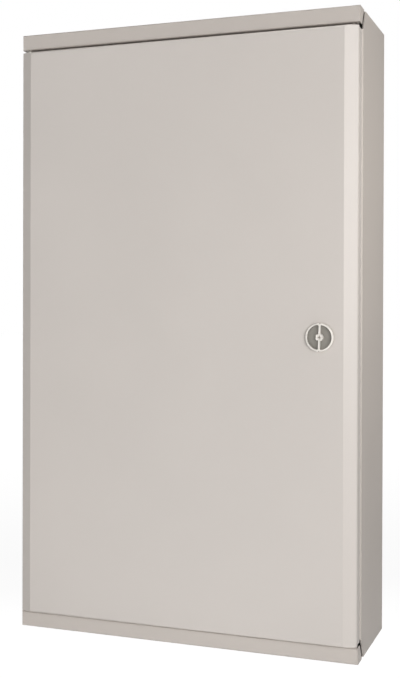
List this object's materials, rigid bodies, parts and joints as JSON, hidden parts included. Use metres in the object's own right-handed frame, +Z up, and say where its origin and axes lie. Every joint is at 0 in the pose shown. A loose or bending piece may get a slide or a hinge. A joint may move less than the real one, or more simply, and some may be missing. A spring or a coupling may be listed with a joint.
{
  "type": "wall enclosure",
  "caption": "Shallow upright sheet steel wall enclosure with a full-height hinged door, a turning handle lock, and rails and terminal bars inside for rows of circuit modules.",
  "frame": {"origin": "middle of the four wall fixing holes, on the back face", "axes": "+X to the right seen from the front, +Y from the door into the wall, +Z up"},
  "size_m": [0.45, 0.169, 0.7848],
  "materials": {
    "body_paint": "warm light grey powder coat, satin",
    "door_paint": "warm light grey powder coat, satin",
    "galvanised": "zinc-coated sheet",
    "zinc": "zinc-plated steel",
    "brass": "machined",
    "grey_plastic": "moulded, fine texture",
    "white_plastic": "moulded, satin",
    "rubber": "matt",
    "blue_plastic": "moulded",
    "nylon": "turned"
  },
  "bodies": {
    "enclosure": {"back_box": "body_paint", "top_end_plate": "body_paint", "bottom_end_plate": "body_paint", "top_gland_plate": "galvanised", "bottom_gland_plate": "galvanised", "gland_plate_screws": "zinc", "lower_hinge_pin": "zinc", "hinge_washer": "nylon", "door_buffers": "rubber", "left_upright": "galvanised", "right_upright": "galvanised", "upright_studs": "zinc", "upright_nuts": "zinc", "module_rail_1": "galvanised", "module_rail_2": "galvanised", "module_rail_3": "galvanised", "module_rail_4": "galvanised", "rail_screws": "zinc", "neutral_bar": "brass", "neutral_bar_insulators": "blue_plastic", "neutral_bar_screws": "zinc", "earth_bar": "brass", "earth_bar_posts": "zinc", "earth_bar_screws": "zinc", "body_earth_stud": "zinc", "body_earth_nut": "brass", "cover_brackets": "galvanised", "module_cover": "door_paint", "cover_screws": "grey_plastic"},
    "door": {"door": "door_paint", "pin_guide": "zinc", "pin_spring": "zinc", "door_earth_stud": "zinc", "door_earth_nut": "brass", "lock_housing": "grey_plastic", "lock_nut": "grey_plastic"},
    "upper_pin": {"upper_hinge_pin": "zinc", "pin_collar": "zinc"},
    "handle": {"lock_handle": "white_plastic", "lock_cam": "zinc", "cam_screw": "zinc"},
    "key_barrel": {"key_barrel": "zinc"}
  },
  "joints": [
    {"name": "door_hinge", "type": "hinge", "parent": "enclosure", "child": "door", "pos_m": [-0.2175, -0.15, 0], "axis": [0, 0, -1], "range_deg": [0, 110]},
    {"name": "upper_pin_slide", "type": "slide", "parent": "door", "child": "upper_pin", "axis": [0, 0, -1], "range_m": [0, 0.009], "stiffness_N_per_m": 300, "springref_m": -0.02, "deforming": ["pin_spring"]},
    {"name": "handle_turn", "type": "hinge", "parent": "door", "child": "handle", "pos_m": [0.18, -0.165, -0.0025], "axis": [0, 1, 0], "range_deg": [0, 90]},
    {"name": "key_turn", "type": "hinge", "parent": "handle", "child": "key_barrel", "pos_m": [0.18, -0.165, -0.0025], "axis": [0, 1, 0], "range_deg": [0, 90]}
  ]
}
